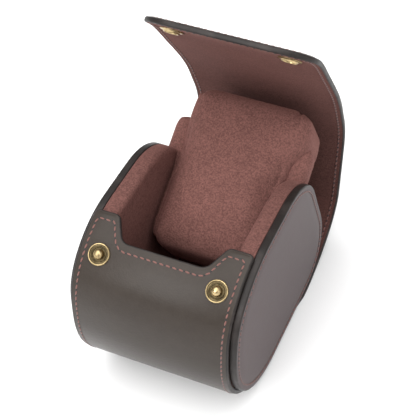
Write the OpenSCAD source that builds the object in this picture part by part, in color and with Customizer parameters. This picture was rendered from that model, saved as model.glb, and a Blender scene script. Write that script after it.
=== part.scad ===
// Travel case for one wristwatch: a leather wrap around two end walls, whose free flap
// folds over a loose cushion and snaps onto two studs at the front.
// X runs across the case, Y from front to back, Z up. The origin is the middle of the flat bottom.
// All sizes are in millimetres.

/* [Case outline] */
// Front of the end walls, ahead of the origin
front_reach = 72.5; // [66:0.5:80]
// Back of the end walls, behind the origin
back_reach = 42; // [38:0.5:48]
// Height at which the back starts to lean forward
back_knee_h = 31; // [28:0.5:34]
// Place of the shoulder where the back meets the crown
shoulder_y = 18.5; // [15:0.5:22]
// Height of the shoulder
shoulder_h = 76.5; // [72:0.5:80]
// Back end of the crown
crown_back_y = -1.5; // [-5:0.5:1]
// Front end of the crown
crown_front_y = -51.5; // [-54:0.5:-48]
// Height of the crown
crown_h = 90; // [86:0.5:94]
// Height of the brow, where the front turns down
brow_h = 73; // [70:0.5:75]
// Radius of the bottom corner at the back
heel_r = 19; // [15:0.5:21]
// Radius of the knee
knee_r = 35; // [20:1:40]
// Radius of the shoulder and of both ends of the crown
crown_r = 40; // [25:1:45]
// Radius of the brow
brow_r = 26; // [18:1:28]
// Radius of the large curve under the front
toe_r = 50; // [40:1:54]

/* [End walls] */
// Width over both end panels
case_w = 76; // [74:0.5:90]
// Thickness of a stitched end panel
panel_t = 2.5; // [1.5:0.1:4]
// Thickness of the padded wall inside an end panel
wall_t = 8.5; // [7:0.1:8.5]
// Thickness of the suede on the padded wall
suede_t = 0.8; // [0.4:0.1:1.2]

/* [Wrap] */
// Thickness of the wrap's outer leather
leather_t = 1.1; // [0.8:0.1:1.6]
// Thickness of the board in the wrap
board_t = 0.6; // [0.4:0.1:1]
// Thickness of the wrap's suede lining
lining_t = 0.7; // [0.5:0.1:1]
// Distance from the wrap's left edge to the outer face of the left end panel
left_margin = 1.5; // [0.5:0.1:2.2]
// Distance from the wrap's right edge to the outer face of the right end panel
right_margin = 3; // [2.6:0.1:4]
// Distance from the studs up to the top edge of the tabs
tab_rise = 18; // [15:0.5:20]
// Distance from the studs up to the bottom of the notch
notch_rise = 7; // [5:0.5:10]
// Width of each tab at its top
tab_top_w = 11.2; // [11:0.1:12.5]
// Width of each tab at its foot
tab_foot_w = 17; // [16:0.5:18.5]
// Radius in the bottom corners of the notch
notch_floor_r = 5; // [2:0.5:6]
// Radius on the inner corners of the tabs
notch_mouth_r = 3.5; // [1:0.5:5]

/* [Snaps] */
// Distance from the middle of a stud to the wrap's edge beside it
stud_margin = 9.4; // [8.8:0.1:10.2]
// Radius of a stud's flange
flange_r = 4.8; // [4:0.1:5.4]
// Radius of a stud's ball
ball_r = 2.1; // [1.6:0.1:2.4]
// Radius of the shanks that pass through the layers
shank_r = 1.5; // [1:0.1:1.6]
// Radius of a socket
socket_r = 5.2; // [4.8:0.1:5.6]
// Radius of a cap on the outside of the flap
cap_r = 6.2; // [5.8:0.1:7]
// Height of a cap's dome
cap_h = 1.6; // [1:0.1:2.2]
// Radial space between the ball and its socket
ball_space = 0.6; // [0.5:0.05:0.8]

/* [Flap] */
// Thickness of the flap's leather
flap_leather_t = 1.1; // [0.8:0.1:1.4]
// Thickness of the flap's board
flap_board_t = 0.8; // [0.5:0.1:1]
// Thickness of the flap's suede lining
flap_lining_t = 0.7; // [0.5:0.1:1]
// Space between the closed flap and the end walls
flap_gap = 0.4; // [0.3:0.1:1]
// Space between the closed flap and the tabs
tab_gap = 3.2; // [3:0.1:3.6]
// Bend of each of the two sections at the bottom corner, open to closed
heel_bend = 26; // [24:1:28]
// Flattening of the section at the back, open to closed
back_bend = 24; // [22:1:26]
// Bend of the section over the shoulder, open to closed
crown_bend = 19; // [17:1:21]
// Bend of the end of the flap, open to closed
snap_bend = 37; // [35:1:39]
// Distance from the flap's left edge to the outer face of the left end panel
flap_left_margin = 0.3; // [0.1:0.1:3]
// Distance from the flap's right edge to the outer face of the right end panel
flap_right_margin = 0.1; // [0.1:0.1:3]
// Cut between two sections of the flap
section_gap = 0.4; // [0.3:0.05:0.6]
// Radius on the corners of the flap's free end
flap_corner_r = 17; // [8:0.5:18]

/* [Cushion] */
// Space between the cushion and each padded wall
cushion_gap = 0.5; // [0.5:0.1:3]
// Length of the cushion along its leaning front face
cushion_l = 80; // [74:0.5:82]
// Thickness of the cushion
cushion_t = 42; // [38:0.5:44]
// Lean of the cushion's front face
cushion_lean = 33.5; // [31:0.5:36]
// Place of the cushion's middle behind the origin
cushion_y = 17.5; // [15:0.5:18]
// Height of the cushion's middle
cushion_z = 62.5; // [61:0.5:64]
// Thickness of the cushion's cover
cover_t = 1.2; // [0.8:0.1:2]
// Roundness of the cushion's outline, where 2 is an ellipse
cushion_square = 3.6; // [3:0.1:4.5]
// How far the cushion's sides draw in at their edges
side_draw = 6; // [4:0.5:8]
// Width of a wing beyond the cushion's side
wing_w = 6.5; // [5:0.5:8]
// Length of a wing
wing_l = 58; // [50:1:60]
// Thickness of a wing
wing_t = 14; // [10:0.5:16]
// How far a wing is set back from the cushion's front face
wing_setback = 12; // [9:0.5:14]
// Distance from the cushion's upper end down to the wings' upper ends
wing_drop = 14; // [12:0.5:20]
// Space between a wing and the padded wall
wing_gap = 0.3; // [0.2:0.1:0.6]

/* [Hidden] */

$fn = 48;
leather_color = "#4a423f";
panel_color = "#6a6463";
suede_color = "#7d5650";
board_color = "#b09a80";
brass_color = "#8f7a4e";

// Steps of each rounded corner of an outline, and of the cushion's outline and sides
corner_steps = 20;
cushion_steps = 44;
side_steps = 5;

wrap_t = leather_t + board_t + lining_t;
flap_t = flap_leather_t + flap_board_t + flap_lining_t;
half_w = case_w / 2;
wall_outer_x = half_w - panel_t;
wall_inner_x = wall_outer_x - wall_t;
wrap_left_x = left_margin - half_w;
wrap_right_x = half_w - right_margin;
wrap_middle_x = (wrap_left_x + wrap_right_x) / 2;
wrap_w = wrap_right_x - wrap_left_x;
stud_pitch = wrap_w - 2 * stud_margin;
notch_mouth_w = wrap_w - 2 * tab_top_w;
notch_floor_w = wrap_w - 2 * tab_foot_w;
cushion_w = 2 * (wall_inner_x - cushion_gap);
flap_left_x = flap_left_margin - half_w;
flap_right_x = half_w - flap_right_margin;

// Corners of the end walls' outline before rounding, from the heel round to the toe
outline_corners = [
    [back_reach, wrap_t],
    [back_reach, back_knee_h],
    [shoulder_y, shoulder_h],
    [crown_back_y, crown_h],
    [crown_front_y, crown_h],
    [-front_reach, brow_h],
    [-front_reach, wrap_t]
];
outline_radii = [heel_r, knee_r, crown_r, crown_r, crown_r, brow_r, toe_r];
corner_count = len(outline_corners);
heel = 0;
knee = 1;
crown_back = 3;
crown_front = 4;
brow = 5;

// Steps in the rounded corners at which the wrap and the sections of the flap end
heel_cuts = [7, 14];
crown_cut = 4;
snap_cut = 8;
flap_end_cut = 12;

// Small lengths of the snaps
flange_t = 0.85;
rim_t = 0.9;
rim_h = 0.4;
washer_t = 0.3;
washer_r = 3.6;
spring_t = 0.4;
spring_r = ball_r + ball_space + 0.2;
socket_neck_r = ball_r + ball_space + 0.8;
cap_edge_h = 0.6;
// Length of the cutters that pass right through a layer
overcut = 20;

function unit(v) = v / norm(v);
function half_turn(a, b, c) = acos(min(1, unit(b - a) * unit(c - b))) / 2;
function at(list, i) = list[(i + len(list)) % len(list)];
function half_turn_at(path, i) = half_turn(at(path, i - 1), at(path, i), at(path, i + 1));
function rounding_length(path, radii, i) = at(radii, i) * tan(half_turn_at(path, i));
// Share of its two roundings that the edge after corner i has room for
function edge_room(path, radii, i) =
    min(1, 0.98 * norm(at(path, i + 1) - at(path, i))
            / (rounding_length(path, radii, i) + rounding_length(path, radii, i + 1)));
function fitted_r(path, radii, i) =
    at(radii, i) * min(edge_room(path, radii, i - 1), edge_room(path, radii, i));
// Points round one corner of a path, moved to the right of the path by d
function corner_arc(path, radii, i, d) =
    let (a = at(path, i - 1), b = at(path, i), c = at(path, i + 1))
    let (r = fitted_r(path, radii, i), turn = 2 * half_turn(a, b, c), edge = unit(b - a))
    let (centre = b + unit(unit(a - b) + unit(c - b)) * r / cos(turn / 2))
    let (side = sign(cross(edge, c - b)), start = atan2(-side * edge.x, side * edge.y))
    [for (step = [0:corner_steps])
        let (t = start + side * turn * step / corner_steps)
        centre + (r + side * d) * [cos(t), sin(t)]];

function outline_arc(i, d) = corner_arc(outline_corners, outline_radii, i, d);
function joined(lists) = [for (list = lists) for (item = list) item];
function reversed(list) = [for (i = [len(list) - 1:-1:0]) list[i]];
function outline_points(d) = joined([for (i = [0:corner_count - 1]) outline_arc(i, d)]);

// An outline corner moved outwards by d, with both of its edges
function moved_corner(i, d) =
    let (a = at(outline_corners, i - 1), b = at(outline_corners, i), c = at(outline_corners, i + 1))
    b - unit(unit(a - b) + unit(c - b)) * d / cos(half_turn(a, b, c));

// The closed flap's inner surface: close to the walls, and clear of the tabs at the front
snap_offset = wrap_t + tab_gap;
flap_count = 5;
flap_offsets = [flap_gap, flap_gap, flap_gap, flap_gap, snap_offset, snap_offset];
flap_corners = concat(
    [[0, wrap_t - flap_gap]],
    [for (i = [heel:brow]) moved_corner(i, flap_offsets[i])],
    [moved_corner(brow, snap_offset) - [0, front_reach / 2]]
);
flap_radii = concat([0], [for (i = [heel:brow]) outline_radii[i] + flap_offsets[i]], [0]);
function flap_arc(i, d) = corner_arc(flap_corners, flap_radii, i + 1, d);
// The flap is cut at these corners and steps; the last is its free end
flap_cuts = [
    [heel, heel_cuts[0]], [heel, heel_cuts[1]], [knee, corner_steps],
    [crown_back, crown_cut], [crown_front, snap_cut], [brow, flap_end_cut]
];
function flap_point(cut, d) = flap_arc(cut[0], d)[cut[1]];
function flap_run(from, to, d) = [
    for (c = [from[0]:to[0]])
        let (arc = flap_arc(c, d))
        for (s = [(c == from[0] ? from[1] : 0):(c == to[0] ? to[1] : corner_steps)]) arc[s]
];

// Each section turns about its leather where it bends inwards, and about its lining at the back
flap_bends = [heel_bend, heel_bend, -back_bend, crown_bend, snap_bend];
flap_pivots = [
    for (k = [0:len(flap_bends) - 1]) flap_point(flap_cuts[k], flap_bends[k] > 0 ? flap_t : 0)
];

// Heights of the snaps' faces above the end walls' outline at the tabs
flange_base = wrap_t - 0.4;
ball_z = flange_base + flange_t + 0.4;
socket_base = flange_base + flange_t + rim_h + 0.4;
socket_top = snap_offset + flap_lining_t;
spring_z = socket_base + 0.5;
cap_base = snap_offset + flap_t - 0.5;

// Middle of the tabs, and the slope of the tabs there
tab_middle = (outline_corners[crown_front] + outline_corners[brow]) / 2;
tab_edge = outline_corners[crown_front] - outline_corners[brow];
tab_slope = atan2(tab_edge.y, tab_edge.x);

module along_x(from, to) {
    translate([from, 0, 0])
        rotate([90, 0, 90])
            linear_extrude(to - from)
                children();
}

module turned_about(point, angle) {
    translate([0, point.x, point.y])
        rotate([angle, 0, 0])
            translate([0, -point.x, -point.y])
                children();
}

// Places children, drawn for the closed flap, where section k lies on the open flap
module on_section(k) {
    if (k == 0) children();
    else on_section(k - 1) turned_about(flap_pivots[k - 1], -flap_bends[k - 1]) children();
}

// Local z points out of the tab, with z = 0 on the end walls' outline, and y runs up the tab
module on_tab(x) {
    translate([x, tab_middle.x, tab_middle.y])
        rotate([tab_slope, 0, 0])
            children();
}

module at_snaps(sides = [-1, 1]) {
    for (side = sides) on_tab(wrap_middle_x + side * stud_pitch / 2) children();
}

// A thin cut across a band at one of its ends
module end_cut(inner, outer) {
    slope = atan2(outer.y - inner.y, outer.x - inner.x);
    translate((inner + outer) / 2)
        rotate(slope)
            square([2 * norm(outer - inner), section_gap], center = true);
}

// One layer of the wrap, from the tabs down the front and along the bottom
module wrap_layer(from, to) {
    cut = heel_cuts[0];
    inner = concat(outline_arc(crown_front, from), outline_arc(brow, from),
                   outline_arc(corner_count - 1, from),
                   [for (s = [0:cut]) outline_arc(heel, from)[s]]);
    outer = concat(outline_arc(crown_front, to), outline_arc(brow, to),
                   outline_arc(corner_count - 1, to),
                   [for (s = [0:cut]) outline_arc(heel, to)[s]]);
    difference() {
        along_x(wrap_left_x, wrap_right_x)
            difference() {
                polygon(concat(outer, reversed(inner)));
                end_cut(outline_arc(heel, 0)[cut], outline_arc(heel, wrap_t)[cut]);
            }
        on_tab(wrap_middle_x) tab_cutout();
    }
}

// Edge of the tabs and of the notch between them, from right to left, and back above them
tab_path = [
    [case_w, tab_rise + overcut], [case_w, tab_rise],
    [notch_mouth_w / 2, tab_rise], [notch_floor_w / 2, notch_rise],
    [-notch_floor_w / 2, notch_rise], [-notch_mouth_w / 2, tab_rise],
    [-case_w, tab_rise], [-case_w, tab_rise + overcut]
];
tab_radii = [0, 0, notch_mouth_r, notch_floor_r, notch_floor_r, notch_mouth_r, 0, 0];

module tab_cutout() {
    translate([0, 0, -overcut])
        linear_extrude(2 * overcut)
            polygon(joined([
                for (i = [0:len(tab_path) - 1])
                    tab_radii[i] > 0 ? corner_arc(tab_path, tab_radii, i, 0) : [tab_path[i]]
            ]));
}

module wrap_leather() {
    color(leather_color)
        difference() {
            wrap_layer(wrap_t - leather_t, wrap_t);
            at_snaps() {
                translate([0, 0, flange_base]) cylinder(r = flange_r, h = overcut);
                cylinder(r = shank_r, h = wrap_t);
            }
        }
}

module wrap_board() {
    color(board_color)
        difference() {
            wrap_layer(lining_t, lining_t + board_t);
            at_snaps() {
                cylinder(r = washer_r, h = lining_t);
                cylinder(r = shank_r, h = wrap_t);
            }
        }
}

// The lining leaves room for the washers that hold the studs
module wrap_lining() {
    color(suede_color)
        difference() {
            wrap_layer(0, lining_t);
            at_snaps() cylinder(r = washer_r, h = wrap_t);
        }
}

module wall_solid(side, from, to, offset) {
    along_x(side > 0 ? from : -to, side > 0 ? to : -from)
        polygon(outline_points(offset));
}

module end_core(side) {
    color(board_color)
        wall_solid(side, wall_inner_x + suede_t, wall_outer_x, -suede_t);
}

module end_lining(side) {
    color(suede_color)
        difference() {
            wall_solid(side, wall_inner_x, wall_outer_x, 0);
            wall_solid(side, wall_inner_x + suede_t, wall_outer_x + 1, -suede_t);
        }
}

module end_panel(side) {
    color(panel_color) wall_solid(side, wall_outer_x, half_w, 0);
}

// A ball on a flange with a raised rim, riveted through the leather and the board
module stud(side) {
    color(brass_color)
        at_snaps([side]) {
            difference() {
                translate([0, 0, flange_base]) cylinder(r = flange_r, h = flange_t + rim_h);
                translate([0, 0, flange_base + flange_t])
                    cylinder(r = flange_r - rim_t, h = rim_h + 1);
            }
            translate([0, 0, lining_t]) cylinder(r = shank_r, h = flange_t);
            intersection() {
                translate([0, 0, ball_z]) sphere(ball_r);
                translate([0, 0, flange_base + flange_t / 2]) cylinder(r = flange_r, h = overcut);
            }
        }
}

module stud_washer(side) {
    color(brass_color)
        at_snaps([side])
            translate([0, 0, lining_t - washer_t]) cylinder(r = washer_r - 0.2, h = washer_t);
}

// One layer of a section of the flap, drawn as it lies when the flap is closed
module flap_layer(k, from, to) {
    start = flap_cuts[k - 1];
    stop = flap_cuts[k];
    along_x(flap_left_x, flap_right_x)
        difference() {
            polygon(concat(flap_run(start, stop, to), reversed(flap_run(start, stop, from))));
            end_cut(flap_point(start, 0), flap_point(start, flap_t));
            if (k < flap_count) end_cut(flap_point(stop, 0), flap_point(stop, flap_t));
        }
}

// The end section's corners are rounded where the flap ends
module flap_end_round() {
    end = flap_point(flap_cuts[flap_count], 0);
    outer = flap_point(flap_cuts[flap_count], flap_t);
    slope = atan2(outer.y - end.y, outer.x - end.x) - 90;
    r = flap_corner_r;
    for (side = [-1, 1])
        translate([side > 0 ? flap_right_x : flap_left_x, end.x, end.y])
            rotate([slope, 0, 0])
                translate([0, 0, -overcut])
                    difference() {
                        translate([-r, -r, 0]) cube([2 * r, 2 * r, 2 * overcut]);
                        translate([-side * r, r, -1]) cylinder(r = r, h = 2 * overcut + 2);
                        translate([side > 0 ? -2 * r : 0, r, -1])
                            cube([2 * r, r, 2 * overcut + 2]);
                    }
}

module flap_part(k, from, to) {
    on_section(k)
        difference() {
            flap_layer(k, from, to);
            if (k == flap_count) {
                flap_end_round();
                children();
            }
        }
}

module flap_leather(k) {
    color(leather_color)
        flap_part(k, flap_t - flap_leather_t, flap_t)
            at_snaps() {
                translate([0, 0, cap_base]) cylinder(r = cap_r, h = overcut);
                translate([0, 0, snap_offset]) cylinder(r = shank_r, h = overcut);
            }
}

module flap_board(k) {
    color(board_color)
        flap_part(k, flap_lining_t, flap_lining_t + flap_board_t)
            at_snaps() {
                cylinder(r = socket_neck_r, h = socket_top);
                cylinder(r = shank_r, h = overcut);
            }
}

module flap_lining(k) {
    color(suede_color)
        flap_part(k, 0, flap_lining_t)
            at_snaps() {
                cylinder(r = socket_r, h = snap_offset);
                cylinder(r = socket_neck_r, h = overcut);
            }
}

// A low dome on the outside of the flap, with the rivet that holds its socket
module snap_cap(side) {
    sphere_r = (cap_r * cap_r + cap_h * cap_h) / (2 * cap_h);
    color(brass_color)
        on_section(flap_count)
            at_snaps([side]) {
                intersection() {
                    translate([0, 0, cap_base + cap_edge_h + cap_h - sphere_r]) sphere(sphere_r, $fn = 96);
                    translate([0, 0, cap_base]) cylinder(r = cap_r, h = overcut);
                }
                translate([0, 0, socket_top]) cylinder(r = shank_r, h = cap_base + 0.3 - socket_top);
            }
}

// A ring on the inside of the flap that takes the stud's ball
module snap_socket(side) {
    color(brass_color)
        on_section(flap_count)
            at_snaps([side])
                difference() {
                    union() {
                        translate([0, 0, socket_base]) cylinder(r = socket_r, h = snap_offset - socket_base);
                        translate([0, 0, socket_base]) cylinder(r = socket_neck_r, h = socket_top - socket_base);
                    }
                    translate([0, 0, socket_base - 1])
                        cylinder(r = ball_r + ball_space, h = socket_top - socket_base + 0.4);
                    translate([0, 0, spring_z]) cylinder(r = spring_r, h = spring_t);
                }
}

// A wire ring in the socket that grips the ball
module snap_spring(side) {
    color(brass_color)
        on_section(flap_count)
            at_snaps([side])
                translate([0, 0, spring_z])
                    difference() {
                        cylinder(r = spring_r, h = spring_t);
                        translate([0, 0, -1]) cylinder(r = ball_r + ball_space - 0.25, h = spring_t + 2);
                    }
}

function superellipse(a, b, t, n) =
    [a * sign(cos(t)) * pow(abs(cos(t)), 2 / n), b * sign(sin(t)) * pow(abs(sin(t)), 2 / n)];

// Points of one slice of a soft block, across X at x, drawn in by d
function soft_slice(x, l, t, d) = [
    for (i = [0:cushion_steps - 1])
        let (p = superellipse(l / 2 - d, t / 2 - d, 360 * i / cushion_steps, cushion_square))
        [x, p.x, p.y]
];

// A soft block lying along its length: crowned faces, with sides that draw in at their edges
module soft_block(from, to, l, t, draw) {
    middle = (from + to) / 2;
    half = (to - from) / 2;
    slices = [
        for (i = [-side_steps:side_steps])
            let (angle = 90 * i / side_steps)
            let (across = sign(i) * pow(abs(sin(angle)), 0.8), inward = 1 - pow(cos(angle), 0.8))
            soft_slice(middle + half * across, l, t, draw * inward)
    ];
    n = cushion_steps;
    rings = len(slices);
    last = (rings - 1) * n;
    polyhedron(
        points = joined(slices),
        faces = concat(
            [[for (i = [0:n - 1]) i]],
            [for (r = [0:rings - 2]) for (i = [0:n - 1])
                [r * n + i, (r + 1) * n + i, (r + 1) * n + (i + 1) % n, r * n + (i + 1) % n]],
            [[for (i = [n - 1:-1:0]) last + i]]
        ),
        convexity = 4
    );
}

module on_cushion() {
    translate([0, cushion_y, cushion_z])
        rotate([cushion_lean, 0, 0])
            children();
}

module cushion_solid(inset) {
    half = cushion_w / 2 - inset;
    on_cushion()
        soft_block(-half, half, cushion_l - 2 * inset, cushion_t - 2 * inset, side_draw);
}

module cushion_core() {
    color(board_color) cushion_solid(cover_t);
}

module cushion_cover() {
    color(suede_color)
        difference() {
            cushion_solid(0);
            cushion_solid(cover_t);
        }
}

// A soft ear beside the cushion that lies over the rim of the padded wall
module cushion_wing(side) {
    root_x = cushion_w / 2 - side_draw;
    tip_x = cushion_w / 2 + wing_w;
    color(suede_color)
        difference() {
            on_cushion()
                translate([0, cushion_l / 2 - wing_drop - wing_l / 2, cushion_t / 2 - wing_setback - wing_t / 2])
                    soft_block(side > 0 ? root_x : -tip_x, side > 0 ? tip_x : -root_x,
                               wing_l, wing_t, wing_t / 3);
            cushion_solid(0);
            wall_solid(side, wall_inner_x - wing_gap, half_w, wing_gap);
        }
}

wrap_leather();
wrap_board();
wrap_lining();
end_core(-1);  // end_core_left
end_core(1);  // end_core_right
end_lining(-1);  // end_lining_left
end_lining(1);  // end_lining_right
end_panel(-1);  // end_panel_left
end_panel(1);  // end_panel_right
stud(-1);  // stud_left
stud(1);  // stud_right
stud_washer(-1);  // stud_washer_left
stud_washer(1);  // stud_washer_right
flap_leather(1);  // flap_leather_1
flap_leather(2);  // flap_leather_2
flap_leather(3);  // flap_leather_3
flap_leather(4);  // flap_leather_4
flap_leather(5);  // flap_leather_5
flap_board(1);  // flap_board_1
flap_board(2);  // flap_board_2
flap_board(3);  // flap_board_3
flap_board(4);  // flap_board_4
flap_board(5);  // flap_board_5
flap_lining(1);  // flap_lining_1
flap_lining(2);  // flap_lining_2
flap_lining(3);  // flap_lining_3
flap_lining(4);  // flap_lining_4
flap_lining(5);  // flap_lining_5
snap_cap(-1);  // snap_cap_left
snap_cap(1);  // snap_cap_right
snap_socket(-1);  // snap_socket_left
snap_socket(1);  // snap_socket_right
snap_spring(-1);  // snap_spring_left
snap_spring(1);  // snap_spring_right
cushion_core();
cushion_cover();
cushion_wing(-1);  // cushion_wing_left
cushion_wing(1);  // cushion_wing_right
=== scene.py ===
"""Watch travel case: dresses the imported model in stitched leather, suede and antique brass."""

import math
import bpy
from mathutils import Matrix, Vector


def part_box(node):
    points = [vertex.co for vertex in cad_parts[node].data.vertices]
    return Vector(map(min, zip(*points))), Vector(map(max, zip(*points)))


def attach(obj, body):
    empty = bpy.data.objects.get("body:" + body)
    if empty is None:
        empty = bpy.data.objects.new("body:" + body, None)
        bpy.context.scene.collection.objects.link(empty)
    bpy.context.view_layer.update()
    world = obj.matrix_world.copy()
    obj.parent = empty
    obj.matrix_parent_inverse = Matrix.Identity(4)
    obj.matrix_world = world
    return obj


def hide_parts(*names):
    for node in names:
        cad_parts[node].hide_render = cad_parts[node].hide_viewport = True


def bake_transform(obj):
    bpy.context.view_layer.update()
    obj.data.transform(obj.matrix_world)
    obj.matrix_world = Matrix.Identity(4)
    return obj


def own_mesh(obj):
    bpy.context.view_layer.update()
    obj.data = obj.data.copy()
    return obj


bl_info = {
    "name": "Watch Travel Case",
    "version": (1, 0, 0),
    "blender": (4, 5, 0),
    "location": "View3D > Sidebar > Travel Case",
    "description": "Builds the leather, suede and metal pieces of a watch travel case",
    "category": "Object",
}

import bmesh
import bpy
from bpy.props import FloatProperty, FloatVectorProperty, IntProperty, PointerProperty
from mathutils import Matrix, Vector

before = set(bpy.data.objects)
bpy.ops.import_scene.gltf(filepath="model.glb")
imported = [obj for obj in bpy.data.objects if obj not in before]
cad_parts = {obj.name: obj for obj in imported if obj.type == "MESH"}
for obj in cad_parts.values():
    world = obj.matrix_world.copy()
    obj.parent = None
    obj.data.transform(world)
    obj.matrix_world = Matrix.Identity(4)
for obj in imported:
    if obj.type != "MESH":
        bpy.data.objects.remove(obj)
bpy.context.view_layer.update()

MM = 0.001

# The end walls' outline: its corners before rounding, from the heel round to the toe, as Y and Z
FRONT_REACH = 72.5 * MM
BACK_REACH = 42 * MM
KNEE_H = 31 * MM
SHOULDER_Y = 18.5 * MM
SHOULDER_H = 76.5 * MM
CROWN_BACK_Y = -1.5 * MM
CROWN_FRONT_Y = -51.5 * MM
CROWN_H = 90 * MM
BROW_H = 73 * MM
STRAP_T = 2.4 * MM
OUTLINE = [
    Vector((BACK_REACH, STRAP_T)),
    Vector((BACK_REACH, KNEE_H)),
    Vector((SHOULDER_Y, SHOULDER_H)),
    Vector((CROWN_BACK_Y, CROWN_H)),
    Vector((CROWN_FRONT_Y, CROWN_H)),
    Vector((-FRONT_REACH, BROW_H)),
    Vector((-FRONT_REACH, STRAP_T)),
]
OUTLINE_R = [r * MM for r in (19, 35, 40, 40, 40, 26, 50)]
HEEL, KNEE, SHOULDER, CROWN_BACK, CROWN_FRONT, BROW, TOE = range(7)
CORNER_STEPS = 20
PATTERN_STEPS = 10
OUTLINE_SPACING = 1.5 * MM
OUTLINE_SMOOTHING = 6

# The flap, as it lies closed, and where it is divided into stiff lengths
FLAP_T = 2.6 * MM
FLAP_GAP = 0.4 * MM
SNAP_OFFSET = 5.6 * MM
FLAP_CUTS = [(HEEL, 7), (HEEL, 14), (KNEE, 20), (CROWN_BACK, 4), (CROWN_FRONT, 8), (BROW, 12)]
FLAP_BENDS = [math.radians(angle) for angle in (26, 26, -24, 19, 37)]
FLAP_BODIES = ["root", "flap_1", "flap_2", "flap_3", "flap_4", "flap_5"]
FLAP_LAYERS = ["leather", "board", "lining"]
LENGTHS = len(FLAP_BENDS)

# The padded walls and the end panels, from the model
WALL_OUTER_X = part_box("end_panel_right")[0][0]
WALL_INNER_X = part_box("end_lining_right")[0][0]
CASE_HALF_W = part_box("end_panel_right")[1][0]

# How far an end panel's painted edge reaches in over the padded wall
PANEL_SEAT = 1.0 * MM


# Settings


class StrapSizes(bpy.types.PropertyGroup):
    """Sizes of the leather strap that makes the front, the bottom and the flap."""

    left_edge: FloatProperty(
        name="Left edge", description="Left edge of the strap at the front",
        default=-36.5 * MM, unit="LENGTH", precision=4,
    )
    right_edge: FloatProperty(
        name="Right edge", description="Right edge of the strap at the front",
        default=35.0 * MM, unit="LENGTH", precision=4,
    )
    flap_left_edge: FloatProperty(
        name="Flap left edge", description="Left edge of the strap on the flap",
        default=-38.0 * MM, unit="LENGTH", precision=4,
    )
    flap_right_edge: FloatProperty(
        name="Flap right edge", description="Right edge of the strap on the flap",
        default=38.5 * MM, unit="LENGTH", precision=4,
    )
    tab_rise: FloatProperty(
        name="Tab rise", description="Length of the tabs above the studs, along the leather",
        default=18.7 * MM, unit="LENGTH", precision=4,
    )
    notch_rise: FloatProperty(
        name="Notch rise", description="Distance from the studs up to the bottom of the notch",
        default=7.1 * MM, unit="LENGTH", precision=4,
    )
    tab_top_w: FloatProperty(
        name="Tab width", description="Width of each tab at its top",
        default=11.2 * MM, unit="LENGTH", precision=4,
    )
    tab_foot_w: FloatProperty(
        name="Tab foot width", description="Width of each tab at its foot",
        default=17.0 * MM, unit="LENGTH", precision=4,
    )
    end_round: FloatProperty(
        name="Free end rounding", description="Radius on the corners of the flap's free end",
        default=17.0 * MM, unit="LENGTH", precision=4,
    )
    edge_round: FloatProperty(
        name="Edge rounding", description="Rounding of the painted edges",
        default=0.8 * MM, unit="LENGTH", precision=4,
    )
    slice_length: FloatProperty(
        name="Slice length", description="Spacing of the cuts that let the strap bend",
        default=1.5 * MM, unit="LENGTH", precision=4,
    )


class StitchSizes(bpy.types.PropertyGroup):
    """Sizes of the stitches."""

    pitch: FloatProperty(
        name="Pitch", description="Distance between the middles of two stitches",
        default=2.9 * MM, unit="LENGTH", precision=4,
    )
    length: FloatProperty(
        name="Length", description="Visible length of a stitch",
        default=2.3 * MM, unit="LENGTH", precision=4,
    )
    thread_w: FloatProperty(
        name="Thread width", description="Width of the thread",
        default=0.8 * MM, unit="LENGTH", precision=4,
    )
    slant: FloatProperty(
        name="Slant", description="Turn of each stitch from its line",
        default=math.radians(9), subtype="ANGLE",
    )
    side_inset: FloatProperty(
        name="Side inset", description="Distance of the stitches from the strap's sides",
        default=2.7 * MM, unit="LENGTH", precision=4,
    )
    top_inset: FloatProperty(
        name="Tab inset", description="Distance of the stitches from the top of the tabs",
        default=4.3 * MM, unit="LENGTH", precision=4,
    )
    notch_inset: FloatProperty(
        name="Notch inset", description="Distance of the stitches from the bottom of the notch",
        default=3.9 * MM, unit="LENGTH", precision=4,
    )
    panel_inset: FloatProperty(
        name="Panel inset", description="Distance of the stitches from the end panels' edges",
        default=2.9 * MM, unit="LENGTH", precision=4,
    )


class WallSizes(bpy.types.PropertyGroup):
    """Sizes of the end panels and of the padded walls inside them."""

    panel_round: FloatProperty(
        name="Panel rounding", description="Rounding of the end panels' painted edges",
        default=0.7 * MM, unit="LENGTH", precision=4,
    )
    wall_round: FloatProperty(
        name="Wall rounding", description="Soft rounding of the padded walls' inner edges",
        default=2.8 * MM, unit="LENGTH", precision=4,
    )


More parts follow.
